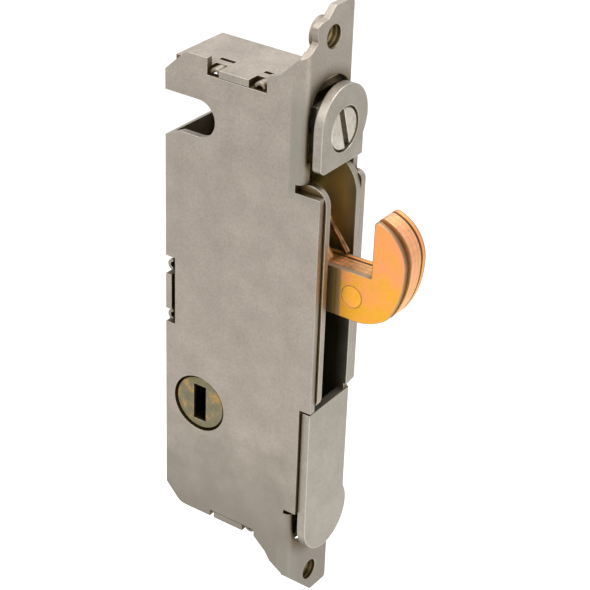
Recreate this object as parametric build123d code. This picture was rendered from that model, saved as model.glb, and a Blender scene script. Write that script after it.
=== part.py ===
from build123d import *
import os
from math import atan2, cos, degrees, hypot, pi, radians, sin, sqrt

# Narrow mortise lock with an adjustable hook, for a sliding patio door.
# Millimetres. The origin lies midway between the two face screw holes, on the outer
# face of the ears. +X points out of the door edge, +Z up, and -Y to the cover side.

os.makedirs("parts", exist_ok=True)

# Driving sizes of the case
hole_pitch = 93.66          # between the two face screw holes, 3-11/16 in
screw_hole_d = 3.5          # tapped hole for a No. 8-32 machine screw
case_width = 12.7           # over both side walls, half an inch
case_depth = 25.0           # ear face to the back of the case
sheet = 1.1                 # steel sheet of the case
bend_in = 0.2               # inside radius of a bend
tray_bend = 0.7             # outside radius of the tray's sharper bends
body_top = 39.7
body_bottom = 39.4
back_chamfer_x = 1.2
back_chamfer_z = 2.2
low_chamfer_x = 2.9
low_chamfer_z = 3.1
wall_gap = 0.05             # between a piece and the case wall beside it
overrun = 1.0               # how far cutting tools pass a face

# Ears, bent from the cover
ear_top = 51.3
ear_far_y = 4.86
ear_root_z = 45.0
ear_corner = 0.9
ear_notch_y = 3.78
ear_notch_z = 46.9
ear_bump_low = 48.1
ear_bump_z = 49.25
ear_bump_y = 4.0
ear_slope_y = 0.3
ear_low_z = 44.6
ear_low_y = 0.5
collar_d = 5.0              # plunged collar that gives the screw thread its length
collar_length = 1.5
front_wall_top_end = 25.9   # lower end of the upper front wall
front_wall_low_end = 32.3   # upper end of the lower front wall
opening_half = 5.4          # half width of the D shaped openings
opening_centre_below_top = 4.1
opening_shoulder_below_top = 10.5
neck_half = 4.7
low_opening_centre = 34.7

# Cover shoulders, notches and nose
crown_height = 1.4          # cover edge above the top flange
crown_from_back = 3.8
shoulder_x = 4.4
shoulder_z = 42.0
shoulder_inner_x = 6.7
low_shoulder_x = 4.6
low_shoulder_z = 41.5
low_hollow_x = 3.7
low_hollow_z = 42.9
low_root_z = 44.4
low_shoulder_inner_x = 6.95
top_notch_back_from_back = 7.7
top_notch_floor_below_top = 1.2
bottom_notch_back_from_back = 9.1
bottom_notch_floor = 38.2
back_notch_top = 6.5
back_notch_low = 5.3
back_notch_depth = 1.8
nose_near_x = 3.05
nose_far_x = 2.6
nose_top = 24.6
nose_low = 11.7
nose_round = 1.2
low_front_x = 1.0
low_front_end = 31.5
far_front_top_below_top = 3.1
far_front_low = 34.0
relief_depth = 0.9

# Notch at the back for a through bolt
bolt_notch_below_top = 8.43
bolt_notch_half = 2.98
bolt_notch_end_from_back = 9.2
bolt_notch_flare = 1.2

# Clinched tabs of the tray
tab_top_back_from_back = 9.8
tab_top_front_x = 9.9
tab_low_back_from_back = 9.9
tab_low_front_x = 9.3
tab_back_top = 3.3
tab_back_low = 2.9
tab_relief = 1.1
slit_start = 2.4            # slit in the top flange, measured from the inside of the cover
slit_width = 0.8
curl_radius = 1.0
curl_reach = 0.6            # how far a curled lip reaches into the cover notch

# Hub, key slot and crank
hub_from_back = 6.66
hub_z = -18.26
hub_d = 9.7
hub_running_gap = 0.075     # radial
hub_collar_d = 10.9
hub_neck_d = 8.4
hub_recess = 0.25
hub_edge = 0.4
key_slot_w = 2.45
key_slot_h = 6.5
crank_radius = 6.4
crank_rest_deg = 25.3
crank_end_r = 2.0
crank_pin_d = 2.2
pin_running_gap = 0.05
crank_thick = 1.2
clip_thick = 0.5
clip_d = 4.2

# Carriage
carriage_travel = 2.0
side_sheet = 1.1
face_sheet = 1.45
face_x = 2.6
face_half = 5.8
face_bend_out = 0.45
face_corner = 1.1
upper_face_low_below_top = 11.65
upper_face_centre_below_top = 5.2
lower_face_top = 12.5
lower_face_centre = 34.5
face_relief = 0.8
carriage_wall_gap = 0.15
carriage_back_from_back = 2.1
carriage_top = 27.6
carriage_low = 11.6
near_front_x = 3.4
near_plate_top = 25.8
near_step_x = 3.8
near_round = 2.8
shoulder_round = 6.0
corner_round = 2.0
flange_low_back_x = 6.5
flange_top_back_x = 8.5
flange_top_below_top = 2.5
neck_step_x = 3.9
tab_half_y = 3.6
tab_low_below_top = 9.9

# Adjusting screw and its nut block
screw_below_top = 6.2
screw_head_d = 6.8
screw_head_gap = 0.1
screw_head_recess = 0.1
screw_collar_d = 8.2
screw_collar_t = 0.9
screw_shank_d = 4.1
screw_running_gap = 0.05
screw_tip_from_back = 9.0
screw_slot_w = 1.25
screw_slot_depth = 1.2
screw_edge = 0.35
screw_slot_tilt = 17.0
nut_front_x = 7.0
nut_back_from_back = 11.0
nut_low_below_top = 10.4
nut_top_below_top = 1.4
nut_far_gap = 0.2
nut_stud_d = 3.0
nut_stud_below_top = 3.1
nut_edge_round = 0.6

# Hook
pivot_x = -7.5
pivot_z = 12.0
pivot_d = 3.6
pivot_bush_d = 5.4
pivot_gap = 0.05
hook_side_gap = 0.3         # between the link and the hook
hook_leaves = 5
hook_boss_r = 5.2
neck_low = 4.65
neck_high = 12.3
throat_x = 10.0
throat_z = 12.8
throat_round = 0.4
nose_tip_z = 21.4
nose_crown_x = 11.3
nose_crown_z = 22.35
nose_back_x = 15.95
nose_back_z = 15.5
nose_shoulder_x = 14.85
nose_shoulder_z = 19.75
nose_waist_x = 15.1
nose_waist_z = 10.6
nose_heel_x = 13.3
nose_heel_z = 7.05
heel_mid_x = 10.9
heel_mid_z = 5.45
neck_low_x = 6.0
leaf_step = 0.5
groove_width = 0.22         # shallow groove beside the far lamination
groove_depth = 0.45
gusset_top_x = -0.9
gusset_top_z = 16.0
gusset_foot_x = 1.9
crank_ear_r = 2.2
rivet_x = 6.7
rivet_z = 8.55
rivet_d = 3.6

# Link between the hub crank and the hook
link_thick = 1.1
link_gap = 0.2
link_width = 3.4
link_eye_r = 2.0
link_outer = 2.6            # from its centre line to the side away from the hub
link_hub_gap = 0.12

# Guide posts, spacers and spring
guide_from_back = 8.3
guide_upper_z = 20.5
guide_lower_z = -3.0
guide_d = 3.0
guide_slot_gap = 0.06
spacer_d = 3.6
spacer_pin_d = 2.4
spacer_upper_from_back = 12.5
spacer_lower_from_back = 5.5
spacer_lower_z = -8.6
spring_post_x = -5.1
spring_post_z = 20.2
spring_post_d = 3.4
spring_wire_d = 0.9
spring_mean_r = 2.6
spring_pitch = 1.38
spring_steps = 8
spring_leg_y = 1.25
spring_tip_x = 2.75
spring_contact_gap = 0.03

# Worked out from the sizes above
opening_centre_z = body_top - opening_centre_below_top
opening_shoulder_z = body_top - opening_shoulder_below_top
crown_x = case_depth - crown_from_back
top_notch_back_x = case_depth - top_notch_back_from_back
top_notch_floor = body_top - top_notch_floor_below_top
bottom_notch_back_x = case_depth - bottom_notch_back_from_back
far_front_top = body_top - far_front_top_below_top
bolt_notch_z = body_top - bolt_notch_below_top
bolt_notch_end_x = case_depth - bolt_notch_end_from_back
tab_top_back_x = case_depth - tab_top_back_from_back
tab_low_back_x = case_depth - tab_low_back_from_back
upper_face_low = body_top - upper_face_low_below_top
upper_face_centre = body_top - upper_face_centre_below_top
carriage_back_x = case_depth - carriage_back_from_back
flange_top_z = body_top - flange_top_below_top
tab_low_z = body_top - tab_low_below_top
screw_z = body_top - screw_below_top
screw_tip_x = case_depth - screw_tip_from_back
nut_back_x = case_depth - nut_back_from_back
nut_low_z = body_top - nut_low_below_top
nut_top_z = body_top - nut_top_below_top
nut_stud_z = body_top - nut_stud_below_top
hub_x = hub_from_back - case_depth
guide_x = guide_from_back - case_depth
spacer_upper_x = spacer_upper_from_back - case_depth
spacer_lower_x = spacer_lower_from_back - case_depth
half = case_width / 2
inner = half - sheet
slit_low = slit_start - inner
slit_high = slit_low + slit_width
bend_out = sheet + bend_in
back = -case_depth
hole_z = hole_pitch / 2
near_side_out = -inner + carriage_wall_gap
near_side_in = near_side_out + side_sheet
far_side_out = inner - wall_gap
far_side_in = far_side_out - side_sheet
face_back_x = face_x - face_sheet
link_near_y = near_side_in + link_gap
link_far_y = link_near_y + link_thick
hook_half = -link_far_y - hook_side_gap
hook_leaf = 2 * hook_half / hook_leaves
crank_dx = crank_radius * cos(radians(crank_rest_deg))
crank_dz = crank_radius * sin(radians(crank_rest_deg))
hub_pin_x = hub_x + crank_dx
hub_pin_z = hub_z + crank_dz
hook_pin_x = pivot_x + crank_dx
hook_pin_z = pivot_z + crank_dz
crank_near_y = link_far_y + pin_running_gap
crank_far_y = crank_near_y + crank_thick
nut_far_y = far_side_in - nut_far_gap
screw_collar_front = face_back_x - screw_head_gap / 2
screw_collar_back = screw_collar_front - screw_collar_t
tab_front_x = screw_collar_back - screw_head_gap / 2
tab_back_x = tab_front_x - side_sheet
spacer_upper_z = spring_post_z + spring_mean_r + (spring_wire_d + spacer_d) / 2 + spring_contact_gap


def across(face, y_low, y_high):
    """A prism from a face drawn in X and Z, running along Y between two planes."""
    return extrude(Plane.XZ.offset(-y_high) * face, amount=y_high - y_low)


def forward(face, x_low, x_high):
    """A prism from a face drawn in Y and Z, running along X between two planes."""
    return extrude(Plane.YZ.offset(x_low) * face, amount=x_high - x_low)


def upward(face, z_low, z_high):
    """A prism from a face drawn in X and Y, running up along Z between two planes."""
    return extrude(Plane.XY.offset(z_low) * face, amount=z_high - z_low)


def outline(points, radii):
    """A closed face through the points, each corner rounded by its own radius."""
    return make_face(FilletPolyline(*points, radius=radii, close=True))


def area(u_low, u_high, v_low, v_high):
    """A rectangle given by its two low and two high sides."""
    return Pos((u_low + u_high) / 2, (v_low + v_high) / 2) * Rectangle(u_high - u_low, v_high - v_low)


def disc(u, v, radius):
    """A round face about a point."""
    return Pos(u, v) * Circle(radius)


def slot(u_low, u_high, v, width):
    """A round ended slot along the first axis, given by its two end centres."""
    middle = area(u_low, u_high, v - width / 2, v + width / 2)
    return middle + disc(u_low, v, width / 2) + disc(u_high, v, width / 2)


def bolt_notch():
    """The round ended notch in the back edge, with its lower lip sloped outwards."""
    centre = -(bolt_notch_end_x + bolt_notch_half)
    low = bolt_notch_z - bolt_notch_half
    mouth = [(back - overrun, low - bolt_notch_flare - overrun / 2), (back + bolt_notch_half, low),
             (back + bolt_notch_half, low + bolt_notch_half), (back - overrun, low + bolt_notch_half)]
    run = area(back - overrun, centre, low, low + 2 * bolt_notch_half)
    return run + disc(centre, bolt_notch_z, bolt_notch_half) + make_face(Polyline(*mouth, close=True))


def ear_outline(top):
    """The outline of an ear in Y and Z. The upper one has a sheared, uneven near corner."""
    if top:
        points = [(-half, front_wall_top_end), (-half, ear_root_z),
                  (-ear_notch_y, ear_notch_z), (-ear_bump_y, ear_bump_low), (-ear_bump_y, ear_bump_z),
                  (-ear_bump_y + sheet, ear_bump_z + sheet / 3), (-ear_slope_y - sheet, ear_bump_z + sheet / 2),
                  (-ear_slope_y, ear_top - sheet / 2), (ear_slope_y, ear_top),
                  (ear_far_y, ear_top), (ear_far_y, front_wall_top_end)]
        return outline(points, [0, 0, ear_corner / 3, ear_corner / 3, ear_corner / 2, ear_corner / 3,
                                ear_corner / 3, ear_corner / 2, ear_corner / 3, ear_corner, 0])
    points = [(-half, -front_wall_low_end), (-half, -ear_low_z), (ear_low_y, -ear_top),
              (ear_far_y, -ear_top), (ear_far_y, -front_wall_low_end)]
    return outline(points, [0, 0, ear_corner, ear_corner / 2, 0])


def case_cover():
    """The near side plate, with both ears bent from it and a nose beside the hook."""
    section = outline([(back, -half), (0, -half), (0, ear_far_y), (-sheet, ear_far_y),
                       (-sheet, -inner), (back, -inner)], [0, bend_out, 0, 0, bend_in, 0])
    folded = upward(section, -ear_top, ear_top)
    crown = body_top + crown_height
    side = outline([(back, -(body_bottom - low_chamfer_z)), (back, body_top - back_chamfer_z),
                    (-(case_depth - back_chamfer_x - sheet), body_top), (-crown_x, crown),
                    (-shoulder_inner_x, crown), (-shoulder_x, shoulder_z),
                    (-bend_out, ear_root_z), (-bend_out, -low_root_z), (-low_hollow_x, -low_hollow_z),
                    (-low_shoulder_x, -low_shoulder_z), (-low_shoulder_inner_x, -body_bottom),
                    (-(case_depth - low_chamfer_x), -body_bottom)],
                   [0, 0, sheet, sheet, sheet, sheet, 0, 0, sheet, sheet / 2, sheet, 2 * sheet])
    kept = across(side, -half - overrun, half) + forward(ear_outline(True), -bend_out, overrun)
    kept += forward(ear_outline(False), -bend_out, overrun)
    cover = folded & kept
    cover += across(area(-bend_out - sheet, nose_near_x, -nose_low, nose_top), -half, -inner)
    cover += across(area(-bend_out - sheet, low_front_x, -low_front_end, -nose_low), -half, -inner)
    upper = disc(0, opening_centre_z, opening_half)
    upper += area(-opening_half, opening_half, opening_shoulder_z, opening_centre_z)
    upper += area(-neck_half, half, front_wall_top_end - overrun, opening_shoulder_z)
    lower = disc(0, -low_opening_centre, opening_half)
    lower += area(-opening_half, opening_half, -low_opening_centre, -front_wall_low_end + overrun)
    cover -= forward(upper + lower, -bend_out, overrun)
    for end in (1, -1):
        cover += forward(disc(0, end * hole_z, collar_d / 2), -sheet - collar_length, -sheet)
        cover -= forward(disc(0, end * hole_z, screw_hole_d / 2), -sheet - collar_length - overrun, overrun)
    cuts = bolt_notch() + disc(hub_x, hub_z, hub_d / 2 + hub_running_gap)
    cuts += area(-top_notch_back_x, -shoulder_inner_x, top_notch_floor, body_top + 2 * crown_height)
    cuts += area(-bottom_notch_back_x, -low_shoulder_inner_x, -body_bottom - overrun, -bottom_notch_floor)
    cuts += area(back - overrun, back + back_notch_depth, -back_notch_low, back_notch_top)
    return cover - across(cuts, -half - overrun, -inner + overrun)


def tray_side():
    """The flat of the far wall: a nose beside the hook, a recess behind each face plate."""
    points = [(back + bend_out, low_chamfer_z - body_bottom), (back + bend_out, body_top - back_chamfer_z),
              (back + bend_out, body_top - bend_out), (-bend_out, body_top - bend_out),
              (-bend_out, far_front_top + bend_out), (low_front_x, far_front_top - bend_out),
              (low_front_x, nose_top), (nose_far_x, nose_top), (nose_far_x, -nose_low),
              (low_front_x, -nose_low - relief_depth), (low_front_x, -far_front_low),
              (-bend_out, -far_front_low - bend_out), (-bend_out, bend_out - body_bottom),
              (-(case_depth - low_chamfer_x), bend_out - body_bottom)]
    return outline(points, [0, 0, 0, 0, 0, 0, 0, nose_round, nose_round, 0, 0, 0, 0, 0])


def curl_places():
    """Centre, radius and turn of each curled lip that the clinching leaves beside a tab."""
    top = body_top - sheet + wall_gap
    low = -body_bottom + sheet - wall_gap
    spine = back + sheet - wall_gap
    return [(-(top_notch_back_x + tab_top_back_x) / 2, top, curl_radius, 0),
            (-(tab_top_front_x + shoulder_inner_x) / 2, top, curl_radius, 0),
            (-(tab_low_front_x + low_shoulder_inner_x) / 2, low, curl_radius, 180),
            (spine, (tab_back_top + back_notch_top) / 2, curl_radius, 90),
            (spine, -(tab_back_low + back_notch_low) / 2, curl_radius, 90)]


def flange_section(edge, turned):
    """An L section in two axes: the flange along one, its bend, and a little of the far wall."""
    reach = edge - turned * (bend_out + sheet)
    points = [(edge, -inner), (edge, half), (reach, half), (reach, inner), (edge - turned * sheet, inner),
              (edge - turned * sheet, -inner)]
    return points, [0, tray_bend, 0, 0, bend_in, 0]


def case_tray():
    """The far side wall with top, back and bottom flanges, and a clinched tab on each."""
    tray = across(tray_side(), inner, half)
    points, radii = flange_section(back, -1)
    tray += upward(outline(points, radii), low_chamfer_z - body_bottom, body_top - back_chamfer_z)
    points, radii = flange_section(body_top, 1)
    tray += forward(outline([(y, z) for z, y in points], radii), back_chamfer_x - case_depth, -bend_out)
    points, radii = flange_section(-body_bottom, -1)
    tray += forward(outline([(y, z) for z, y in points], radii), low_chamfer_x - case_depth, -bend_out)
    tray += across(area(-tab_top_back_x, -tab_top_front_x, body_top - sheet, body_top), -half, -inner)
    tray += across(area(-tab_low_back_x, -tab_low_front_x, -body_bottom, -body_bottom + sheet),
                   -half, -inner)
    tray += across(area(back, back + sheet, -tab_back_low, tab_back_top), -half, -inner)
    reliefs = area(-top_notch_back_x, -tab_top_back_x, body_top - 2 * sheet, body_top + overrun)
    reliefs += area(-tab_top_front_x, -shoulder_inner_x, body_top - 2 * sheet, body_top + overrun)
    reliefs += area(-bottom_notch_back_x, -tab_low_back_x, -body_bottom - overrun,
                    -body_bottom + 2 * sheet)
    reliefs += area(-tab_low_front_x, -low_shoulder_inner_x, -body_bottom - overrun,
                    -body_bottom + 2 * sheet)
    reliefs += area(back - overrun, back + 2 * sheet, tab_back_top, back_notch_top)
    reliefs += area(back - overrun, back + 2 * sheet, -back_notch_low, -tab_back_low)
    tray -= across(reliefs, -inner - overrun, -inner + tab_relief)
    for x, z, radius, turn in curl_places():
        ring = disc(x, z, radius) - disc(x, z, radius / 2)
        arch = ring & (Pos(x, z) * Rot(0, 0, turn) * area(-radius, radius, 0, radius))
        tray += across(arch, -inner - curl_reach, -inner + tab_relief + wall_gap)
    slits = area(-top_notch_back_x - sheet / 2, -tab_top_back_x, slit_low, slit_high)
    slits += area(-tab_top_front_x, -shoulder_inner_x - sheet / 2, slit_low, slit_high)
    tray -= upward(slits, body_top - sheet - overrun, body_top + overrun)
    tray -= across(bolt_notch(), -inner - overrun, half + overrun)
    holes = disc(hub_x, hub_z, hub_d / 2 + hub_running_gap)
    holes += disc(guide_x, guide_upper_z, guide_d / 2) + disc(guide_x, guide_lower_z, guide_d / 2)
    holes += disc(-(nut_front_x + nut_back_x) / 2, nut_stud_z, nut_stud_d / 2)
    return tray - across(holes, inner - overrun, half + overrun)


def guide_posts():
    """Two posts, riveted in the far wall, that the carriage slides along."""
    post = disc(guide_x, guide_upper_z, guide_d / 2) + disc(guide_x, guide_lower_z, guide_d / 2)
    return across(post, -inner + wall_gap, half)


def adjusting_nut():
    """The block that the adjusting screw is threaded in, with a stud riveted in the far wall."""
    body = across(area(-nut_back_x, -nut_front_x, nut_low_z, nut_top_z), -inner + wall_gap, nut_far_y)
    body = fillet(body.edges().filter_by(Axis.Y), nut_edge_round)
    body += across(disc(-(nut_front_x + nut_back_x) / 2, nut_stud_z, nut_stud_d / 2), nut_far_y, half)
    bore = disc(0, screw_z, screw_shank_d / 2 + screw_running_gap)
    return body - forward(bore, -nut_back_x - overrun, -nut_front_x + overrun)


def guide_slot(z):
    """The slot for a guide post, long enough for the carriage travel."""
    return slot(guide_x - carriage_travel, guide_x, z, guide_d + 2 * guide_slot_gap)


def spacer_places():
    """Centres of the two spacer rivets."""
    return [(spacer_upper_x, spacer_upper_z), (spacer_lower_x, spacer_lower_z)]


def side_holes():
    """What is pierced in both carriage side plates."""
    cuts = guide_slot(guide_upper_z) + guide_slot(guide_lower_z) + disc(pivot_x, pivot_z, pivot_d / 2)
    cuts += disc(spring_post_x, spring_post_z, spacer_pin_d / 2)
    for x, z in spacer_places():
        cuts += disc(x, z, spacer_pin_d / 2)
    return cuts


def carriage_frame():
    """The far side plate with both face plates and the screw retaining tab bent from it."""
    points = [(face_x, -carriage_low), (face_x, carriage_top), (-neck_step_x, carriage_top),
              (-neck_step_x, upper_face_low), (tab_front_x, upper_face_low),
              (tab_front_x, flange_top_z), (-flange_top_back_x, flange_top_z),
              (-flange_top_back_x, carriage_top), (-carriage_back_x + shoulder_round, carriage_top),
              (-carriage_back_x, carriage_top - shoulder_round), (-carriage_back_x, -carriage_low)]
    plate = across(outline(points, [0, shoulder_round, 0, 0, 0, corner_round, corner_round, 0,
                                    corner_round, corner_round, corner_round]), far_side_in, far_side_out)
    low_end = lower_face_centre - face_relief
    plate += across(area(-flange_low_back_x, face_x - face_bend_out, -low_end, -carriage_low),
                    far_side_in, far_side_out)
    bend = outline([(face_back_x, 0), (face_x, 0), (face_x, far_side_out),
                    (tab_front_x, far_side_out), (tab_front_x, far_side_in),
                    (face_back_x, far_side_in)], [0, 0, face_bend_out, 0, 0, bend_in])
    plate += upward(bend, upper_face_low, upper_face_centre - face_relief)
    plate += upward(bend, -low_end, -lower_face_top)
    upper = disc(0, upper_face_centre, face_half)
    upper += outline([(-face_half, upper_face_centre), (-face_half, upper_face_low),
                      (far_side_out - face_bend_out, upper_face_low),
                      (far_side_out - face_bend_out, upper_face_centre)], [0, face_corner, 0, 0])
    upper += area(0, face_half, upper_face_centre - face_relief, upper_face_centre)
    lower = disc(0, -lower_face_centre, face_half)
    lower += area(-face_half, far_side_out - face_bend_out, -lower_face_centre, -lower_face_top)
    lower += area(0, face_half, -lower_face_centre, -low_end)
    plate += forward(upper + lower, face_back_x, face_x)
    tab = area(-tab_half_y, far_side_in, tab_low_z, flange_top_z)
    plate += forward(tab, tab_back_x, tab_front_x)
    plate -= forward(disc(0, screw_z, screw_head_d / 2 + screw_head_gap), face_back_x - overrun / 2,
                     face_x + overrun)
    plate -= forward(disc(0, screw_z, screw_shank_d / 2 + 2 * screw_running_gap), tab_back_x - overrun,
                     tab_front_x + overrun / 4)
    return plate - across(side_holes(), far_side_in - overrun, far_side_out + overrun)


def carriage_near_plate():
    """The near side plate of the carriage, its upper front corner widely rounded."""
    points = [(near_front_x, -carriage_low), (near_front_x, near_plate_top),
              (-near_step_x, near_plate_top), (-near_step_x, carriage_top),
              (-carriage_back_x + shoulder_round, carriage_top),
              (-carriage_back_x, carriage_top - shoulder_round), (-carriage_back_x, -carriage_low)]
    face = outline(points, [corner_round, near_round, 0, side_sheet, corner_round, corner_round,
                            corner_round])
    return across(face - side_holes(), near_side_out, near_side_in)


def hook_pivot_pin():
    """The pin through both carriage plates that the hook swings on."""
    return across(disc(pivot_x, pivot_z, pivot_d / 2), near_side_out, far_side_out)


def pivot_washers():
    """A washer on each side of the hook, filling the space to the carriage plates."""
    ring = disc(pivot_x, pivot_z, pivot_bush_d / 2 - bend_in) - disc(pivot_x, pivot_z, pivot_d / 2)
    near = across(ring, near_side_in, -hook_half - pin_running_gap)
    return [near, across(ring, hook_half + pin_running_gap, far_side_in)]


def shouldered_rivet(x, z, diameter):
    """A spacer between the carriage plates, with a thinner riveted end in each."""
    rivet = across(disc(x, z, diameter / 2), near_side_in, far_side_in)
    return rivet + across(disc(x, z, spacer_pin_d / 2), near_side_out, far_side_out)


def adjusting_screw():
    """A slotted screw with a collar behind the face plate and a plain thread core."""
    front = face_x - screw_head_recess
    head = forward(disc(0, screw_z, screw_head_d / 2), screw_collar_front, front)
    groove = Rot(0, 0, screw_slot_tilt) * Rectangle(screw_slot_w, 2 * screw_head_d)
    head -= forward(Pos(0, screw_z) * groove, front - screw_slot_depth, front + overrun)
    rim = head.edges().filter_by(GeomType.CIRCLE).filter_by(lambda edge: edge.center().X > front - overrun / 9)
    head = chamfer(rim, screw_edge)
    collar = forward(disc(0, screw_z, screw_collar_d / 2), screw_collar_back, screw_collar_front)
    shank = forward(disc(0, screw_z, screw_shank_d / 2), -screw_tip_x, screw_collar_back)
    tip = shank.edges().sort_by(Axis.X)[0]
    return head + collar + chamfer(tip, screw_shank_d / 8)


def hook_profile():
    """The full hook outline: boss round the pivot, neck, throat and curved nose."""
    rim = Polyline((pivot_x, neck_high), (throat_x - throat_round, throat_z - throat_round / 2),
                   (throat_x, throat_z), (throat_x, nose_tip_z))
    rim += ThreePointArc((throat_x, nose_tip_z),
                         ((throat_x * 3 + nose_crown_x) / 4, (nose_tip_z + 3 * nose_crown_z) / 4),
                         (nose_crown_x, nose_crown_z))
    rim += ThreePointArc((nose_crown_x, nose_crown_z), (nose_shoulder_x, nose_shoulder_z),
                         (nose_back_x, nose_back_z))
    rim += ThreePointArc((nose_back_x, nose_back_z), (nose_waist_x, nose_waist_z),
                         (nose_heel_x, nose_heel_z))
    rim += ThreePointArc((nose_heel_x, nose_heel_z), (heel_mid_x, heel_mid_z), (neck_low_x, neck_low))
    belly_x = pivot_x + hook_boss_r
    rim += Polyline((neck_low_x, neck_low), (belly_x, neck_low),
                    (pivot_x, pivot_z - hook_boss_r), (pivot_x, neck_high))
    return make_face(rim) + disc(pivot_x, pivot_z, hook_boss_r)


def hook_bores():
    """Holes for the pivot bush and the hook rivet."""
    return disc(pivot_x, pivot_z, pivot_bush_d / 2) + disc(rivet_x, rivet_z, rivet_d / 2)


def hook_gusset():
    """The crank arm that rises from the neck and carries the crank pin."""
    web = make_face(Polyline((pivot_x, pivot_z), (hook_pin_x, hook_pin_z + crank_ear_r),
                             (gusset_top_x, gusset_top_z), (gusset_foot_x, neck_high - throat_round),
                             (pivot_x, pivot_z), close=True))
    return web + disc(hook_pin_x, hook_pin_z, crank_ear_r)


def drawn_in(face, step):
    """The hook outline with the outer side of its nose set back, and the neck left whole."""
    return (face & (Pos(-step, -step) * face)) + (face & area(pivot_x - 2 * hook_boss_r, throat_x, 0, throat_z))


def hook_leaf_solid(index):
    """One hook lamination, counted from the near side. The first three carry the crank pin."""
    face = hook_profile()
    if index == 0:
        face = drawn_in(face, leaf_step)
        ear = disc(hook_pin_x, hook_pin_z, crank_ear_r)
        ear += make_face(Polyline((pivot_x, pivot_z), (hook_pin_x, hook_pin_z + crank_ear_r),
                                  (hook_pin_x + crank_ear_r, neck_high - throat_round),
                                  (pivot_x, pivot_z), close=True))
        face += ear
    if index in (1, 2):
        face += hook_gusset()
    face -= hook_bores()
    if index < 3:
        face -= disc(hook_pin_x, hook_pin_z, crank_pin_d / 2)
    low = -hook_half + index * hook_leaf
    if index == 3:
        flat = across(face, low, low + hook_leaf - groove_width)
        return flat + across(drawn_in(face, groove_depth), low + hook_leaf - groove_width, low + hook_leaf)
    return across(face, low, low + hook_leaf)


def hook_bush():
    """The bush pressed in the hook that turns on the pivot pin."""
    ring = disc(pivot_x, pivot_z, pivot_bush_d / 2) - disc(pivot_x, pivot_z, pivot_d / 2 + pivot_gap)
    return across(ring, -hook_half, hook_half)


def hub():
    """The hub: two journals, a thrust collar, a thinner neck beside the link, and the key slot."""
    collar_end = link_near_y - 3 * pin_running_gap - clip_thick
    tube = across(disc(hub_x, hub_z, hub_d / 2), -half + hub_recess, -inner + wall_gap)
    tube += across(disc(hub_x, hub_z, hub_collar_d / 2), -inner + wall_gap, collar_end)
    tube += across(disc(hub_x, hub_z, hub_neck_d / 2), collar_end, crank_near_y)
    tube += across(disc(hub_x, hub_z, hub_d / 2), crank_near_y, half - hub_recess)
    key = area(hub_x - key_slot_w / 2, hub_x + key_slot_w / 2, hub_z - key_slot_h / 2,
               hub_z + key_slot_h / 2)
    ends = tube.edges().filter_by(GeomType.CIRCLE).sort_by(Axis.Y)
    tube = chamfer([ends[0], ends[-1]], hub_edge)
    return tube - across(key, -half - overrun, half + overrun)


def hub_crank():
    """The arm pressed on the hub, its end round about the crank pin."""
    turn = atan2(crank_dz, crank_dx)
    side_x = crank_end_r * sin(turn)
    side_z = crank_end_r * cos(turn)
    arm = make_face(Polyline((hub_x - 2 * side_x, hub_z + 2 * side_z), (hub_pin_x - side_x, hub_pin_z + side_z),
                             (hub_pin_x + side_x, hub_pin_z - side_z),
                             (hub_x + 2 * side_x, hub_z - 2 * side_z), close=True))
    face = arm + disc(hub_x, hub_z, hub_collar_d / 2) + disc(hub_pin_x, hub_pin_z, crank_end_r)
    face -= disc(hub_x, hub_z, hub_d / 2) + disc(hub_pin_x, hub_pin_z, crank_pin_d / 2)
    return across(face, crank_near_y, crank_far_y)


def hub_sleeve():
    """The sleeve on the hub that keeps the crank off the far wall."""
    ring = disc(hub_x, hub_z, hub_collar_d / 2) - disc(hub_x, hub_z, hub_d / 2)
    return across(ring, crank_far_y, inner - wall_gap)


def hub_crank_pin():
    """The pin riveted in the hub crank, with a groove end for its retaining ring."""
    clip_near = link_near_y - pin_running_gap - clip_thick
    return across(disc(hub_pin_x, hub_pin_z, crank_pin_d / 2), clip_near, crank_far_y)


def crank_pin_ring():
    """The retaining ring that keeps the link on the hub crank pin, open on one side."""
    ring = disc(hub_pin_x, hub_pin_z, clip_d / 2) - disc(hub_pin_x, hub_pin_z, crank_pin_d / 2)
    ring -= area(hub_pin_x, hub_pin_x + clip_d, hub_pin_z - crank_pin_d / 4, hub_pin_z + crank_pin_d / 4)
    clip_far = link_near_y - pin_running_gap
    return across(ring, clip_far - clip_thick, clip_far)


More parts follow.
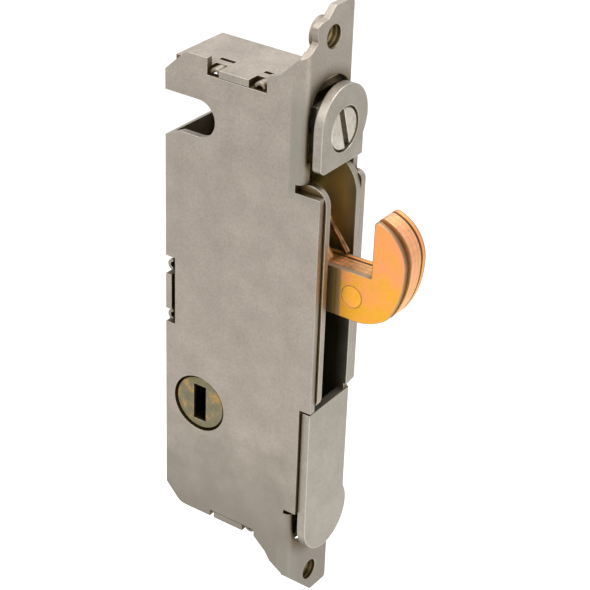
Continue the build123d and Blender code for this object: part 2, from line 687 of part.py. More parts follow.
def link():
    """The bar from the hub crank to the hook crank. Its upper end is slotted along the travel.

    The link moves without turning. The hub neck is taken out of it where it passes at full throw
    and a little before, and the pivot washers where they pass at rest, with the carriage travel.
    """
    dx = hook_pin_x - hub_pin_x
    dz = hook_pin_z - hub_pin_z
    length = hypot(dx, dz)
    side_x = link_width / 2 * dz / length
    side_z = link_width / 2 * dx / length
    wide_x = link_outer * dz / length
    wide_z = link_outer * dx / length
    bar = outline([(hub_pin_x - side_x, hub_pin_z + side_z), (hook_pin_x - side_x, hook_pin_z + side_z),
                   (hook_pin_x + wide_x, hook_pin_z - wide_z), (hub_pin_x + wide_x, hub_pin_z - wide_z)],
                  [0, 0, link_width / 3, link_width / 3])
    for turned in range(45, 91, 9):
        toward = radians(crank_rest_deg - turned)
        bar -= disc(hub_pin_x - crank_radius * cos(toward), hub_pin_z - crank_radius * sin(toward),
                    hub_neck_d / 2 + link_hub_gap)
    passing = pivot_bush_d - 2 * bend_in + 2 * link_hub_gap
    for turned in range(0, 37, 9):
        toward = radians(crank_rest_deg - turned)
        shift_x = crank_dx - crank_radius * cos(toward)
        shift_z = crank_dz - crank_radius * sin(toward)
        bar -= slot(pivot_x + shift_x, pivot_x + shift_x + carriage_travel, pivot_z + shift_z, passing)
    bar += disc(hub_pin_x, hub_pin_z, link_eye_r)
    bar += slot(hook_pin_x, hook_pin_x + carriage_travel, hook_pin_z, 2 * link_eye_r)
    bar -= disc(hub_pin_x, hub_pin_z, crank_pin_d / 2 + pin_running_gap)
    bar -= slot(hook_pin_x, hook_pin_x + carriage_travel, hook_pin_z, crank_pin_d + 2 * pin_running_gap)
    return across(bar, link_near_y, link_far_y)


def hook_crank_pin():
    """The pin riveted in three hook laminations that the link's slot rides on."""
    top = -hook_half + 3 * hook_leaf
    return across(disc(hook_pin_x, hook_pin_z, crank_pin_d / 2), link_near_y, top)


def biarc(start, start_dir, end, end_dir):
    """Two tangent arcs that join two points with given directions."""
    chord = end - start
    both = start_dir + end_dir
    spread = 2 * (1 - start_dir.dot(end_dir))
    reach = (sqrt(chord.dot(both) ** 2 + spread * chord.dot(chord)) - chord.dot(both)) / spread
    first = start + start_dir * reach
    second = end - end_dir * reach
    middle = (first + second) / 2
    return [Edge.make_tangent_arc(start, start_dir, middle),
            Edge.make_tangent_arc(middle, (second - first).normalized(), end)]


def hook_spring():
    """The torsion spring: coils about the spring post, a leg on the hook and a leg on a spacer.

    The coil is a helix along Y, drawn in tangent arcs, two for each step. It starts straight above the
    post, where the back leg leaves, and ends where the front leg is tangent to it.
    """
    tip_z = neck_high + spring_wire_d / 2 + spring_contact_gap
    tip_dx = spring_tip_x - spring_post_x
    tip_dz = tip_z - spring_post_z
    reach = hypot(tip_dx, tip_dz)
    front_length = sqrt(reach ** 2 - spring_mean_r ** 2)
    end_angle = atan2(tip_dz, tip_dx) + atan2(front_length, spring_mean_r)
    start_angle = pi / 2
    total = start_angle - end_angle + 2 * pi * 2
    rise = spring_pitch / (2 * pi)
    back_y = spring_leg_y - rise * total
    flat = spring_mean_r / hypot(spring_mean_r, rise)
    climb = rise / hypot(spring_mean_r, rise)

    def place(turned):
        angle = start_angle - turned
        return Vector(spring_post_x + spring_mean_r * cos(angle), back_y + rise * turned,
                      spring_post_z + spring_mean_r * sin(angle))

    def heading(turned):
        angle = start_angle - turned
        return Vector(flat * sin(angle), climb, -flat * cos(angle))

    steps = spring_steps
    marks = [total * step / steps for step in range(steps + 1)]
    back_dir = heading(0)
    back_end = place(0) - back_dir * (spring_post_x - spacer_upper_x)
    edges = [Edge.make_line(back_end, place(0))]
    for low, high in zip(marks, marks[1:]):
        edges += biarc(place(low), heading(low), place(high), heading(high))
    front_dir = heading(total)
    edges.append(Edge.make_line(place(total), place(total) + front_dir * front_length))
    fine = [place(total * step / 720) for step in range(721)]
    half_turn = int(720 * pi / total)
    gaps = [(a - b).length for i, a in enumerate(fine) for b in fine[i + half_turn:]]
    print("spring: least gap between turns", round(min(gaps) - spring_wire_d, 3))
    path = Wire(edges)
    profile = Plane(origin=back_end, z_dir=back_dir) * Circle(spring_wire_d / 2)
    return sweep(profile, path=path)


nodes = {
    "case_cover": case_cover(),
    "case_tray": case_tray(),
    "guide_posts": guide_posts(),
    "adjusting_nut": adjusting_nut(),
    "carriage_frame": carriage_frame(),
    "carriage_near_plate": carriage_near_plate(),
    "hook_pivot_pin": hook_pivot_pin(),
    "pivot_washers": Compound(children=pivot_washers()),
    "spacer_rivets": Compound(children=[shouldered_rivet(x, z, spacer_d) for x, z in spacer_places()]),
    "spring_post": shouldered_rivet(spring_post_x, spring_post_z, spring_post_d),
    "adjusting_screw": adjusting_screw(),
    "hook_near_leaf": hook_leaf_solid(0),
    "hook_second_leaf": hook_leaf_solid(1),
    "hook_core_leaf": hook_leaf_solid(2),
    "hook_fourth_leaf": hook_leaf_solid(3),
    "hook_far_leaf": hook_leaf_solid(4),
    "hook_rivet": across(disc(rivet_x, rivet_z, rivet_d / 2), -hook_half, hook_half),
    "hook_bush": hook_bush(),
    "hook_crank_pin": hook_crank_pin(),
    "hub": hub(),
    "hub_crank": hub_crank(),
    "hub_sleeve": hub_sleeve(),
    "hub_crank_pin": hub_crank_pin(),
    "crank_pin_ring": crank_pin_ring(),
    "link": link(),
    "hook_spring": hook_spring(),
}

for name, shape in nodes.items():
    export_step(shape, f"parts/{name}.step")
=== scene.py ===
import math

import bpy
import numpy as np
from mathutils import Matrix, Vector

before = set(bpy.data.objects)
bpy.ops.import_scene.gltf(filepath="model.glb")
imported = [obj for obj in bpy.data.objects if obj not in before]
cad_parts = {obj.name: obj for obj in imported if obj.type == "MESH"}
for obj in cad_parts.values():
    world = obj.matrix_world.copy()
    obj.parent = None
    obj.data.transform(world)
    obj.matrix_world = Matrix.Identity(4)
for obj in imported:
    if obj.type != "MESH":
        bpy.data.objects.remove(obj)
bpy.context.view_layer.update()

MM = 0.001

# Places on the lock and sizes of its marks. +X points out of the door edge, +Z up, and the
# cover is on the -Y side. A pair gives where a mark starts to show and where it is full.

# Grain of each surface, in millimetres. The real grain, 0.02 to 0.1 mm, is too fine to show where a
# pixel is about 0.15 mm, so each is drawn coarser, two or three pixels wide.
rolled_grain = 0.45
blanked_grain = 0.40
pierced_grain = 0.35
turned_grain = 0.35
cast_grain = 0.35
drawn_grain = 0.35
slotted_grain = 0.25
chromate_grain = 0.50
sheared_grain = 0.30
along_leaf_edge = (1.0, 0.05, 1.0)  # twenty times as long along Y, as the die's ribs are

# Wear, painted highlight on edges, and painted shade in corners, that all the metal shares
noise_range = (0.3, 0.7)            # nearly all of a noise lies between these
cloud_places = (0.30, 0.52, 0.74)   # noise at the dark, middle and light tone of the clouds
gloss_grain = (0.25, 0.75)          # grain from its smoothest to its roughest
gloss_cloud_share = 0.6             # how much the clouds change the gloss, beside the grain
relief_strength = 0.35
edge_turn = (0.995, 0.80)           # cosine between the face and its rounded edge
scuff_cell = 9.09 * MM              # mean distance between two scratches
scuff_width = 0.11 * MM
scuff_wander = 4 * MM
scuff_wander_size = 6.25 * MM
scuff_patch = 11.1 * MM
scuff_share = (0.5, 0.62)           # leaves scratches on about a third of the face
sky_open = (0.95, 0.66)             # how open a corner is to the room, where painted shade and some grime gather
corner_rays = 6                     # rays that look for an edge or a corner

# Hook: five leaves side by side from -Y to +Y, and the plating on them
leaf_count = 5
stack_half = 2.45 * MM
leaf_pitch = 2 * stack_half / leaf_count
leaf_joint = (0.36, 0.48)           # shares of a leaf from its middle
neck_end = (10.6 * MM, 9.6 * MM)
near_shear_y = 1.90 * MM
near_shear_half = (0.66 * MM, 0.40 * MM)
far_shear = (2.05 * MM, 2.25 * MM)
groove_y = 1.36 * MM
groove_half = (0.30 * MM, 0.18 * MM)
rim_turn = (0.8, 0.4)               # a face turned this far from the side is a sheared edge
side_turn = (0.9, 0.99)
track_x = (2.6 * MM, 5.0 * MM)      # where the grey and olive bands lie on the neck, beside the carriage plate's edge
track_fade = (4.95 * MM, 4.55 * MM)
track_tones = [(0.0, "#8C825C"), (0.42, "#928862"), (0.52, "#7C611A"), (0.66, "#847A66")]
torn_grain = (0.35, 0.65)           # grain that breaks the bare steel of the rims
torn_cover = (0.7, 1.0)
tint_z = (7 * MM, 18 * MM)          # yellow at the neck, pink at the nose
tint_sway = 5 * MM
tint_cloud = 5.26 * MM

# Case: painted shade and highlight of threads in the ears, painted shade along the front bend and on the foot
ear_hole_z = 46.83 * MM
thread_pitch = 0.794 * MM
thread_bore = (1.86 * MM, 1.78 * MM)
bend_x = (-2.6 * MM, -2.2 * MM)
bend_y = (-3.6 * MM, -4.2 * MM)
bend_foot_z = (23 * MM, 25 * MM)
bend_top_z = (42 * MM, 37 * MM)
bend_low_z = (-37 * MM, -39.5 * MM)
bend_cover = (0.35, 0.85)           # share of the painted shade along the bend, by the grain
foot_z = (-19 * MM, -39 * MM)
foot_sway = 4 * MM

# Carriage: an oil film on the walls that face inwards
inward_turn = (-1.5 * MM, -3.0 * MM)    # distance from the middle, times how far the face turns to it
oil_x = (2.7 * MM, 0.5 * MM)
oil_z = (3 * MM, 33 * MM)
oil_foot = [(0.0, "#4A4736"), (0.2, "#7C7650")]
oil_full = (0.4, 0.75)              # shares of the height between which the film is thickest
oil_top = (1.0, "#8A8260")

# Hub: painted shade in the key slot
slot_deep_y = (6.0 * MM, 5.3 * MM)


# Colour and nodes
def srgb(hex_code):
    """Turns a hex colour as seen on screen into linear light: the low part is divided by 12.92, the
    rest is shifted by 0.055, divided by 1.055 and raised to 2.4."""
    parts = [int(hex_code[i:i + 2], 16) / 255 for i in (1, 3, 5)]
    return tuple(c / 12.92 if c <= 0.04045 else ((c + 0.055) / 1.055) ** 2.4 for c in parts) + (1.0,)


def make(owner, kind, inputs=None, out=0, stops=None, **settings):
    """Adds one shader node and returns its output. Settings are attributes, plain inputs go on their
    sockets, hex colours are converted, a pair under From or To fills its Min and Max, and stops are
    the (place, colour) pairs of a ramp."""
    tree = owner.node_tree
    node = tree.nodes.new(kind)
    for key, value in settings.items():
        setattr(node, key, value)
    for key, value in (inputs or {}).items():
        if isinstance(value, bpy.types.NodeSocket):
            tree.links.new(value, node.inputs[key])
        elif key in ("From", "To"):
            node.inputs[key + " Min"].default_value = value[0]
            node.inputs[key + " Max"].default_value = value[1]
        else:
            node.inputs[key].default_value = srgb(value) if isinstance(value, str) else value
    if stops:
        bands = node.color_ramp.elements
        bands[0].position = stops[0][0]
        bands[0].color = srgb(stops[0][1])
        bands[1].position = stops[-1][0]
        bands[1].color = srgb(stops[-1][1])
        for place, colour in stops[1:-1]:
            bands.new(place).color = srgb(colour)
    return node.outputs[out] if node.outputs else None


def fresh(data, name):
    """A new material or world of that name with no nodes."""
    item = data.new(name)
    item.use_nodes = True
    item.node_tree.nodes.clear()
    return item


# Worked metal, built up mark by mark
class Metal:
    """A metal surface while it is built up: where a point lies on the piece, the cloudy patches, the
    fine grain, and the colour and relief so far."""

    def __init__(self, name, dark, base, light, patch_mm):
        """Cloudy patches of about patch_mm between three tones of the metal."""
        self.material = fresh(bpy.data.materials, name)
        m = self.material
        self.light = light
        self.rounded = None
        self.place = make(m, "ShaderNodeTexCoord", out="Object")
        self.x = make(m, "ShaderNodeSeparateXYZ", {"Vector": self.place}, out="X")
        self.y = make(m, "ShaderNodeSeparateXYZ", {"Vector": self.place}, out="Y")
        self.z = make(m, "ShaderNodeSeparateXYZ", {"Vector": self.place}, out="Z")
        self.normal = make(m, "ShaderNodeNewGeometry", out="Normal")
        self.turn_y = make(m, "ShaderNodeSeparateXYZ", {"Vector": self.normal}, out="Y")
        self.patches = make(m, "ShaderNodeTexNoise", {"Vector": self.place, "Scale": 1 / (patch_mm * MM),
                                                      "Detail": 4.0, "Roughness": 0.6})
        self.tone = make(m, "ShaderNodeValToRGB", {"Fac": self.patches},
                         stops=list(zip(cloud_places, (dark, base, light))))

    def tinted(self, low, high, share):
        """Chromate film whose colour goes with height from low to high, with a cloudy border."""
        m = self.material
        cloud = make(m, "ShaderNodeTexNoise", {"Vector": self.place, "Scale": 1 / tint_cloud, "Detail": 3.0})
        sway = make(m, "ShaderNodeMapRange", {"Value": cloud, "From": noise_range,
                                              "To": (-tint_sway, tint_sway)})
        height = make(m, "ShaderNodeMath", {0: self.z, 1: sway}, operation="ADD")
        climb = make(m, "ShaderNodeMapRange", {"Value": height, "From": tint_z})
        film = make(m, "ShaderNodeValToRGB", {"Fac": climb}, stops=[(0.0, low), (1.0, high)])
        self.tone = make(m, "ShaderNodeMix", {"Factor": share, "A": self.tone, "B": film}, out="Result",
                         data_type="RGBA")

    def grained(self, grain_mm, share, stretch=(1.0, 1.0, 1.0)):
        """Fine grain of grain_mm that lightens and darkens the metal by that share. A stretch below 1
        draws it out along an axis."""
        m = self.material
        drawn = make(m, "ShaderNodeMapping", {"Vector": self.place, "Scale": stretch})
        self.grain = make(m, "ShaderNodeTexNoise", {"Vector": drawn, "Scale": 1 / (grain_mm * MM),
                                                    "Detail": 3.0, "Roughness": 0.7})
        self.relief = self.grain
        gain = make(m, "ShaderNodeMapRange", {"Value": self.grain, "From": noise_range,
                                              "To": (1 - share, 1 + share)})
        self.tone = make(m, "ShaderNodeVectorMath", {0: self.tone, "Scale": gain}, operation="SCALE")

    def scuffed(self, share):
        """Thin scratches: the borders between wandering cells, kept in some patches only."""
        m = self.material
        wander = make(m, "ShaderNodeTexNoise", {"Vector": self.place, "Scale": 1 / scuff_wander_size,
                                                "Detail": 1.0}, out="Color")
        shift = make(m, "ShaderNodeVectorMath", {0: wander, 1: (scuff_wander,) * 3}, operation="MULTIPLY")
        moved = make(m, "ShaderNodeVectorMath", {0: self.place, 1: shift}, operation="ADD")
        border = make(m, "ShaderNodeTexVoronoi", {"Vector": moved, "Scale": 1 / scuff_cell},
                      feature="DISTANCE_TO_EDGE")
        line = make(m, "ShaderNodeMapRange", {"Value": border, "From": (0.0, scuff_width / scuff_cell),
                                              "To": (1.0, 0.0)})
        some = make(m, "ShaderNodeTexNoise", {"Vector": self.place, "Scale": 1 / scuff_patch, "Detail": 2.0})
        gate = make(m, "ShaderNodeMapRange", {"Value": some, "From": scuff_share})
        mark = make(m, "ShaderNodeMath", {0: line, 1: gate}, operation="MULTIPLY")
        mark = make(m, "ShaderNodeMath", {0: mark, 1: share}, operation="MULTIPLY")
        self.tone = make(m, "ShaderNodeMix", {"Factor": mark, "A": self.tone, "B": self.light}, out="Result",
                         data_type="RGBA")
        self.relief = make(m, "ShaderNodeMath", {0: self.grain, 1: mark}, operation="SUBTRACT")

    def edged(self, colour, radius_mm, share):
        """Another tone where the face turns to its edge, and the edge itself rounded to that radius. A light
        tone is wear with a painted highlight.
        """
        m = self.material
        self.rounded = make(m, "ShaderNodeBevel", {"Radius": radius_mm * MM}, samples=corner_rays)
        turn = make(m, "ShaderNodeVectorMath", {0: self.rounded, 1: self.normal}, out="Value",
                    operation="DOT_PRODUCT")
        edge_wear_and_highlight = make(m, "ShaderNodeMapRange", {"Value": turn, "From": edge_turn, "To": (0.0, share)})
        self.tone = make(m, "ShaderNodeMix", {"Factor": edge_wear_and_highlight, "A": self.tone, "B": colour}, out="Result",
                         data_type="RGBA")

    def sheared(self, colour):
        """Bare steel on the sheared rims of the leaves: a line at each joint of the neck, a wide one
        beside the near leaf and one at the far face, all broken by the grain."""
        m = self.material
        self.sideways = make(m, "ShaderNodeMath", {0: self.turn_y}, operation="ABSOLUTE")
        self.rim = make(m, "ShaderNodeMapRange", {"Value": self.sideways, "From": rim_turn})
        depth = make(m, "ShaderNodeMath", {0: self.y, 1: stack_half}, operation="ADD")
        leaves = make(m, "ShaderNodeMath", {0: depth, 1: 1 / leaf_pitch}, operation="MULTIPLY")
        within = make(m, "ShaderNodeMath", {0: leaves}, operation="FRACT")
        aside = make(m, "ShaderNodeMath", {0: within, 1: 0.5}, operation="SUBTRACT")
        aside = make(m, "ShaderNodeMath", {0: aside}, operation="ABSOLUTE")
        joint = make(m, "ShaderNodeMapRange", {"Value": aside, "From": leaf_joint})
        neck = make(m, "ShaderNodeMapRange", {"Value": self.x, "From": neck_end})
        joint = make(m, "ShaderNodeMath", {0: joint, 1: neck}, operation="MULTIPLY")
        near = make(m, "ShaderNodeMath", {0: self.y, 1: near_shear_y}, operation="ADD")
        near = make(m, "ShaderNodeMath", {0: near}, operation="ABSOLUTE")
        near = make(m, "ShaderNodeMapRange", {"Value": near, "From": near_shear_half})
        bare = make(m, "ShaderNodeMath", {0: joint, 1: near}, operation="MAXIMUM")
        far = make(m, "ShaderNodeMapRange", {"Value": self.y, "From": far_shear})
        bare = make(m, "ShaderNodeMath", {0: bare, 1: far}, operation="MAXIMUM")
        torn = make(m, "ShaderNodeMapRange", {"Value": self.grain, "From": torn_grain, "To": torn_cover})
        bare = make(m, "ShaderNodeMath", {0: self.rim, 1: bare}, operation="MULTIPLY")
        bare = make(m, "ShaderNodeMath", {0: bare, 1: torn}, operation="MULTIPLY")
        self.tone = make(m, "ShaderNodeMix", {"Factor": bare, "A": self.tone, "B": colour}, out="Result",
                         data_type="RGBA")

    def neck_banded(self, share):
        """The upright grey and olive bands on the neck, beside the carriage plate's edge. It comes after
        sheared."""
        m = self.material
        across = make(m, "ShaderNodeMapRange", {"Value": self.x, "From": track_x})
        track = make(m, "ShaderNodeValToRGB", {"Fac": across}, stops=track_tones)
        mark = make(m, "ShaderNodeMapRange", {"Value": self.x, "From": track_fade, "To": (0.0, share)})
        level = make(m, "ShaderNodeMapRange", {"Value": self.sideways, "From": side_turn})
        mark = make(m, "ShaderNodeMath", {0: mark, 1: level}, operation="MULTIPLY")
        self.tone = make(m, "ShaderNodeMix", {"Factor": mark, "A": self.tone, "B": track}, out="Result",
                         data_type="RGBA")

    def groove_shaded(self, colour):
        """Painted shade in the groove between the fourth leaf and the far one. It comes after sheared."""
        m = self.material
        off = make(m, "ShaderNodeMath", {0: self.y, 1: -groove_y}, operation="ADD")
        off = make(m, "ShaderNodeMath", {0: off}, operation="ABSOLUTE")
        groove = make(m, "ShaderNodeMapRange", {"Value": off, "From": groove_half})
        groove_shade = make(m, "ShaderNodeMath", {0: self.rim, 1: groove}, operation="MULTIPLY")
        self.tone = make(m, "ShaderNodeMix", {"Factor": groove_shade, "A": self.tone, "B": colour}, out="Result",
                         data_type="RGBA")

    def shaded_foot(self, colour, share):
        """Painted shade: the lower third of the case darker, with a cloudy border."""
        m = self.material
        sway = make(m, "ShaderNodeMapRange", {"Value": self.patches, "From": noise_range,
                                              "To": (-foot_sway, foot_sway)})
        low = make(m, "ShaderNodeMath", {0: self.z, 1: sway}, operation="ADD")
        foot_shade = make(m, "ShaderNodeMapRange", {"Value": low, "From": foot_z, "To": (0.0, share)})
        self.tone = make(m, "ShaderNodeMix", {"Factor": foot_shade, "A": self.tone, "B": colour}, out="Result",
                         data_type="RGBA")

    def bend_shaded(self, colour):
        """A grey strip of painted shade along the front bend, above and below the mouth."""
        m = self.material
        front = make(m, "ShaderNodeMapRange", {"Value": self.x, "From": bend_x})
        near = make(m, "ShaderNodeMapRange", {"Value": self.y, "From": bend_y})
        strip = make(m, "ShaderNodeMath", {0: front, 1: near}, operation="MULTIPLY")
        foot = make(m, "ShaderNodeMapRange", {"Value": self.z, "From": bend_foot_z})
        top = make(m, "ShaderNodeMapRange", {"Value": self.z, "From": bend_top_z})
        upper = make(m, "ShaderNodeMath", {0: foot, 1: top}, operation="MULTIPLY")
        lower = make(m, "ShaderNodeMapRange", {"Value": self.z, "From": bend_low_z})
        span = make(m, "ShaderNodeMath", {0: upper, 1: lower}, operation="ADD")
        strip = make(m, "ShaderNodeMath", {0: strip, 1: span}, operation="MULTIPLY")
        bend_shade_grain = make(m, "ShaderNodeMapRange", {"Value": self.grain, "From": noise_range, "To": bend_cover})
        strip = make(m, "ShaderNodeMath", {0: strip, 1: bend_shade_grain}, operation="MULTIPLY")
        self.tone = make(m, "ShaderNodeMix", {"Factor": strip, "A": self.tone, "B": colour}, out="Result",
                         data_type="RGBA")

    def thread_shaded(self, root, flank, crest):
        """The painted shade and highlight of screw threads in the ear holes: dark roots and light crests in a
        wave along X that advances one pitch for each turn.
        """
        m = self.material
        high = make(m, "ShaderNodeMath", {0: self.z}, operation="ABSOLUTE")
        high = make(m, "ShaderNodeMath", {0: high, 1: ear_hole_z}, operation="SUBTRACT")
        flat = make(m, "ShaderNodeCombineXYZ", {"X": self.y, "Y": high})
        away = make(m, "ShaderNodeVectorMath", {0: flat}, out="Value", operation="LENGTH")
        bore = make(m, "ShaderNodeMapRange", {"Value": away, "From": thread_bore})
        turns = make(m, "ShaderNodeMath", {0: self.x, 1: 2 * math.pi / thread_pitch}, operation="MULTIPLY")
        around = make(m, "ShaderNodeMath", {0: self.y, 1: high}, operation="ARCTAN2")
        wave = make(m, "ShaderNodeMath", {0: turns, 1: around}, operation="ADD")
        wave = make(m, "ShaderNodeMath", {0: wave}, operation="SINE")
        rise = make(m, "ShaderNodeMapRange", {"Value": wave, "From": (-1.0, 1.0)})
        thread_shading = make(m, "ShaderNodeValToRGB", {"Fac": rise}, stops=[(0.0, root), (0.6, flank), (1.0, crest)])
        self.tone = make(m, "ShaderNodeMix", {"Factor": bore, "A": self.tone, "B": thread_shading}, out="Result",
                         data_type="RGBA")

    def shaded_slot(self, colour):
        """Painted shade on the inside of the hub, below its two ends."""
        m = self.material
        depth = make(m, "ShaderNodeMath", {0: self.y}, operation="ABSOLUTE")
        deep = make(m, "ShaderNodeMapRange", {"Value": depth, "From": slot_deep_y})
        self.tone = make(m, "ShaderNodeMix", {"Factor": deep, "A": self.tone, "B": colour}, out="Result",
                         data_type="RGBA")

    def oiled(self, colour):
        """An oil film on the inward faces of the carriage: dark at the mouth's foot, then that colour,
        and thin again at the top."""
        m = self.material
        inward = make(m, "ShaderNodeMath", {0: self.y, 1: self.turn_y}, operation="MULTIPLY")
        side = make(m, "ShaderNodeMapRange", {"Value": inward, "From": inward_turn})
        deep = make(m, "ShaderNodeMapRange", {"Value": self.x, "From": oil_x})
        wet = make(m, "ShaderNodeMath", {0: side, 1: deep}, operation="MULTIPLY")
        climb = make(m, "ShaderNodeMapRange", {"Value": self.z, "From": oil_z})
        film = make(m, "ShaderNodeValToRGB", {"Fac": climb},
                    stops=oil_foot + [(share, colour) for share in oil_full] + [oil_top])
        self.tone = make(m, "ShaderNodeMix", {"Factor": wet, "A": self.tone, "B": film}, out="Result",
                         data_type="RGBA")

    def shaded_and_grimy(self, colour, reach_mm, share):
        """Painted shade, with some grime, where other faces stand closer than reach_mm and close a corner
        off.
        """
        m = self.material
        sky = make(m, "ShaderNodeAmbientOcclusion", {"Distance": reach_mm * MM}, out="AO",
                   samples=corner_rays)
        shade_and_grime = make(m, "ShaderNodeMapRange", {"Value": sky, "From": sky_open, "To": (0.0, share)})
        self.tone = make(m, "ShaderNodeMix", {"Factor": shade_and_grime, "A": self.tone, "B": colour}, out="Result",
                         data_type="RGBA")

    def finished(self, rough, spread, relief_mm):
        """The shader: bare metal, rough by the grain and the patches, with relief_mm of height."""
        m = self.material
        fine = make(m, "ShaderNodeMapRange", {"Value": self.grain, "From": gloss_grain,
                                              "To": (rough - spread, rough + spread)})
        cloudy = gloss_cloud_share * spread
        slow = make(m, "ShaderNodeMapRange", {"Value": self.patches, "From": noise_range,
                                              "To": (-cloudy, cloudy)})
        gloss = make(m, "ShaderNodeMath", {0: fine, 1: slow}, operation="ADD")
        bump = {"Height": self.relief, "Strength": relief_strength, "Distance": relief_mm * MM}
        if self.rounded:
            bump["Normal"] = self.rounded
        shader = make(m, "ShaderNodeBsdfPrincipled",
                      {"Base Color": self.tone, "Metallic": 1.0, "Roughness": gloss,
                       "Normal": make(m, "ShaderNodeBump", bump)})
        make(m, "ShaderNodeOutputMaterial", {"Surface": shader})
        return m


# Materials
def zinc_plated_rolled_steel():
    """Cold rolled sheet, folded in a press and zinc plated, on the case. A warm satin grey with soft
    clouds, light on the cut edges by wear and a painted highlight, brown in the corners by painted shade
    with some grime, darker on the foot and along the front bend by painted shade, and the painted shade
    and highlight of cut threads in the ears."""
    metal = Metal("zinc_plated_rolled_steel", "#968D83", "#9E958B", "#A69D93", patch_mm=6.0)
    metal.grained(rolled_grain, share=0.12)
    metal.scuffed(share=0.12)
    # light edges: wear and a painted highlight
    metal.edged("#C6BFB5", radius_mm=0.22, share=0.5)
    # painted shade on the lower third of the case
    metal.shaded_foot("#817A70", share=0.95)
    # painted shade along the front bend
    metal.bend_shaded("#87857A")
    # painted shade and highlight of threads in the ear holes
    metal.thread_shaded("#3A3122", "#7A6844", "#C9BFAE")
    # painted shade, with some grime, in the corners
    metal.shaded_and_grimy("#54431C", reach_mm=3.0, share=0.92)
    return metal.finished(rough=0.50, spread=0.05, relief_mm=0.004)


def zinc_plated_blanked_steel():
    """Sheet blanked in a press, zinc plated and oiled, on the carriage frame. A little glossier than
    the case, with bright edges, worn and with a painted highlight, and a straw yellow oil film inside."""
    metal = Metal("zinc_plated_blanked_steel", "#938C81", "#9B948A", "#A39C92", patch_mm=5.0)
    metal.grained(blanked_grain, share=0.12)
    metal.scuffed(share=0.12)
    # light edges: wear and a painted highlight
    metal.edged("#DDD7CD", radius_mm=0.24, share=0.7)
    metal.oiled("#F6E292")
    # painted shade, with some grime, in the corners
    metal.shaded_and_grimy("#6E6038", reach_mm=2.2, share=0.4)
    return metal.finished(rough=0.46, spread=0.05, relief_mm=0.004)


def oil_stained_blanked_steel():
    """The same sheet on the near carriage plate, where old oil has dried. Brown inside, painted shade
    with some grime in the corners, and the brightest edges of the lock, worn and with painted glints."""
    metal = Metal("oil_stained_blanked_steel", "#938C81", "#9B948A", "#A39C92", patch_mm=5.0)
    metal.grained(blanked_grain, share=0.12)
    metal.scuffed(share=0.12)
    # light edges: wear and painted glints
    metal.edged("#E8DCC6", radius_mm=0.26, share=0.8)
    metal.oiled("#8E6F3C")
    # painted shade, with some grime, in the corners
    metal.shaded_and_grimy("#6A5228", reach_mm=3.5, share=0.9)
    return metal.finished(rough=0.46, spread=0.05, relief_mm=0.004)


def oiled_pierced_steel():
    """Plain strip and rod, pierced or cut off and left oiled, on the link, crank, washers and
    spacers. Olive grey, with paler edges."""
    metal = Metal("oiled_pierced_steel", "#776C48", "#8F8460", "#A89D7C", patch_mm=4.0)
    metal.grained(pierced_grain, share=0.06)
    metal.edged("#B7AE9A", radius_mm=0.25, share=0.6)
    return metal.finished(rough=0.40, spread=0.08, relief_mm=0.006)


def oiled_turned_steel():
    """Rod turned on a lathe, on the posts, the nut and the pivot pin. Warm grey, a little paler than
    the case, so that the riveted ends show as discs on its far side."""
    metal = Metal("oiled_turned_steel", "#9A917F", "#A9A08F", "#BDB5A6", patch_mm=3.0)
    metal.grained(turned_grain, share=0.10)
    metal.edged("#6F6650", radius_mm=0.30, share=0.8)
    # painted shade, with some grime, in the corners
    metal.shaded_and_grimy("#5E5030", reach_mm=2.2, share=0.5)
    return metal.finished(rough=0.40, spread=0.06, relief_mm=0.006)


def bright_zinc_plated_turned_steel():
    """The adjusting screw, turned, slotted and bright zinc plated. The palest steel of the lock,
    scratched by screwdrivers."""
    metal = Metal("bright_zinc_plated_turned_steel", "#989184", "#BBB4A8", "#CFC9BE", patch_mm=2.5)
    metal.grained(slotted_grain, share=0.06)
    metal.scuffed(share=0.2)
    metal.edged("#E2DCD4", radius_mm=0.25, share=0.6)
    return metal.finished(rough=0.34, spread=0.06, relief_mm=0.006)


def yellow_chromate_blanked_steel():
    """The outer hook leaves, blanked, zinc plated and dipped in yellow chromate. Gold at the neck and
    salmon pink at the nose, with dull sheared rims."""
    metal = Metal("yellow_chromate_blanked_steel", "#D6A42A", "#E8A152", "#EC9872", patch_mm=2.6)
    metal.tinted("#E7AB31", "#EC9C6C", share=0.55)
    metal.grained(chromate_grain, share=0.05)
    metal.edged("#8C8373", radius_mm=0.26, share=0.9)
    metal.sheared("#978C79")
    metal.neck_banded(share=0.8)
    # painted shade in the groove before the far leaf
    metal.groove_shaded("#4A3F2E")
    # painted shade, with some grime, in the corners
    metal.shaded_and_grimy("#6E5A30", reach_mm=1.6, share=0.6)
    return metal.finished(rough=0.52, spread=0.05, relief_mm=0.004)


def yellow_chromate_sheared_steel():
    """The middle hook leaves, seen on their sheared rims. Pinker than the outer ones, and ribbed
    across by the die, which draws the grain out along Y."""
    metal = Metal("yellow_chromate_sheared_steel", "#CC8C36", "#DE9650", "#E69468", patch_mm=2.0)
    metal.tinted("#DEA644", "#F0B08A", share=0.6)
    metal.grained(sheared_grain, share=0.16, stretch=along_leaf_edge)
    metal.edged("#8C8373", radius_mm=0.20, share=0.9)
    metal.sheared("#978C79")
    metal.neck_banded(share=0.8)
    # painted shade in the groove before the far leaf
    metal.groove_shaded("#4A3F2E")
    # painted shade, with some grime, in the corners
    metal.shaded_and_grimy("#6A5018", reach_mm=2.0, share=0.6)
    return metal.finished(rough=0.42, spread=0.10, relief_mm=0.010)


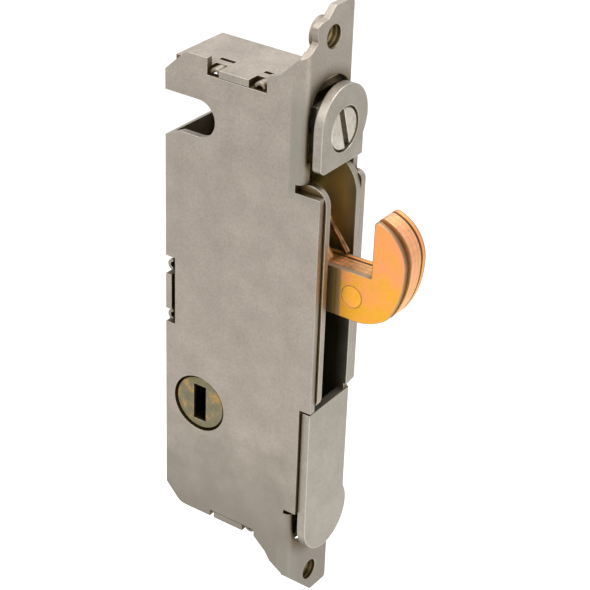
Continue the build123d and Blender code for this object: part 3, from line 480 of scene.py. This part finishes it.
def yellow_chromate_headed_steel():
    """Rivet, bush and crank pins, cold headed and plated with the hook. The hook's gold, with a dark
    line where the end meets the leaf."""
    metal = Metal("yellow_chromate_headed_steel", "#E8AC3C", "#F4B043", "#F6A95C", patch_mm=2.0)
    metal.grained(turned_grain, share=0.06)
    metal.edged("#3C3428", radius_mm=0.26, share=1.0)
    return metal.finished(rough=0.50, spread=0.05, relief_mm=0.004)


def yellow_chromate_cast_zinc():
    """The hub, die cast in zinc and dipped in yellow chromate, now mostly worn to olive grey. Gold is
    left in patches, and the key slot is darkened by painted shade."""
    metal = Metal("yellow_chromate_cast_zinc", "#6B6546", "#7A725D", "#C9942A", patch_mm=2.2)
    metal.grained(cast_grain, share=0.12)
    metal.edged("#B4A984", radius_mm=0.18, share=0.6)
    # painted shade in the key slot
    metal.shaded_slot("#1C2424")
    # painted shade, with some grime, in the corners
    metal.shaded_and_grimy("#5C4C22", reach_mm=1.2, share=0.6)
    return metal.finished(rough=0.42, spread=0.06, relief_mm=0.004)


def drawn_spring_wire():
    """Spring wire, drawn through a die and tempered bronze brown. Smooth, so it glints."""
    metal = Metal("drawn_spring_wire", "#4E3820", "#8C6440", "#D8AE88", patch_mm=2.0)
    metal.grained(drawn_grain, share=0.06)
    return metal.finished(rough=0.24, spread=0.06, relief_mm=0.004)


# Which finish each node has
finishes = [
    (zinc_plated_rolled_steel(), ["case_cover", "case_tray"]),
    (zinc_plated_blanked_steel(), ["carriage_frame"]),
    (oil_stained_blanked_steel(), ["carriage_near_plate"]),
    (oiled_pierced_steel(), ["pivot_washers", "spacer_rivets", "spring_post", "hub_crank", "link"]),
    (oiled_turned_steel(), ["guide_posts", "adjusting_nut", "hook_pivot_pin"]),
    (bright_zinc_plated_turned_steel(), ["adjusting_screw"]),
    (yellow_chromate_blanked_steel(), ["hook_near_leaf", "hook_far_leaf"]),
    (yellow_chromate_sheared_steel(), ["hook_second_leaf", "hook_core_leaf", "hook_fourth_leaf"]),
    (yellow_chromate_headed_steel(), ["hook_rivet", "hook_bush", "hook_crank_pin", "hub_crank_pin"]),
    (yellow_chromate_cast_zinc(), ["hub", "hub_sleeve"]),
    (drawn_spring_wire(), ["hook_spring", "crank_pin_ring"]),
]
for material, nodes in finishes:
    for node in nodes:
        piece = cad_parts[node]
        piece.data.materials.clear()
        piece.data.materials.append(material)


# Floor and light
def floor(height, size):
    """A plain matt white floor, far enough below the lock to keep its shadow out of the picture. Its
    corners are half its size from the middle both ways, at that height."""
    paint = fresh(bpy.data.materials, "rolled_matt_white_paint")
    chalk = make(paint, "ShaderNodeBsdfPrincipled", {"Base Color": "#FDFDFC", "Roughness": 0.9})
    make(paint, "ShaderNodeOutputMaterial", {"Surface": chalk})
    signs = np.array([[-1, -1], [1, -1], [1, 1], [-1, 1]])
    corners = np.column_stack([signs * size / 2, np.full(len(signs), height)])
    mesh = bpy.data.meshes.new("floor")
    mesh.from_pydata(corners.tolist(), [], [(0, 1, 2, 3)])
    mesh.materials.append(paint)
    item = bpy.data.objects.new("floor", mesh)
    bpy.context.collection.objects.link(item)


def lamp(name, place, size, power):
    """A white square lamp that faces the middle of the lock."""
    data = bpy.data.lights.new(name, "AREA")
    data.shape = "SQUARE"
    data.size = size
    data.energy = power
    item = bpy.data.objects.new(name, data)
    item.location = place
    item.rotation_euler = (Vector(lock_middle) - Vector(place)).to_track_quat("-Z", "Y").to_euler()
    bpy.context.collection.objects.link(item)


# A plain white room lights the metal from all round and shows in it. The lamps only add a soft slope.
lock_middle = (-0.006, 0.0, 0.0)
world = fresh(bpy.data.worlds, "soft_room")
white_room = make(world, "ShaderNodeBackground", {"Color": "#FFFFFF", "Strength": 1.0})
make(world, "ShaderNodeOutputWorld", {"Surface": white_room})

scene = bpy.context.scene
scene.world = world
scene.view_settings.view_transform = "Standard"

floor(height=-0.35, size=5.0)
lamp("key", place=(-0.14, -0.40, 0.36), size=0.40, power=1.5)
lamp("side", place=(0.46, -0.06, -0.16), size=0.34, power=0.3)
lamp("top", place=(0.02, 0.05, 0.55), size=0.40, power=4.2)


# Camera, where the photograph was taken from
def photo_camera(place, azimuth, elevation, roll):
    """A camera at that place, turned from looking along +Y by azimuth towards -X, tilted down by
    elevation and rolled, all in degrees."""
    data = bpy.data.cameras.new("photo_camera")
    data.sensor_width = 36.0
    data.lens = 106.6
    data.clip_start = 0.01
    data.clip_end = 10.0
    item = bpy.data.objects.new("photo_camera", data)
    level = Matrix.Rotation(math.radians(azimuth), 4, "Z")
    tilt = Matrix.Rotation(math.radians(90 - elevation), 4, "X")
    item.matrix_world = Matrix.Translation(place) @ level @ tilt @ Matrix.Rotation(math.radians(roll), 4, "Z")
    bpy.context.collection.objects.link(item)
    return item


scene.camera = photo_camera(place=(0.12488, -0.19168, 0.13589), azimuth=34.1, elevation=29.737, roll=2.217)
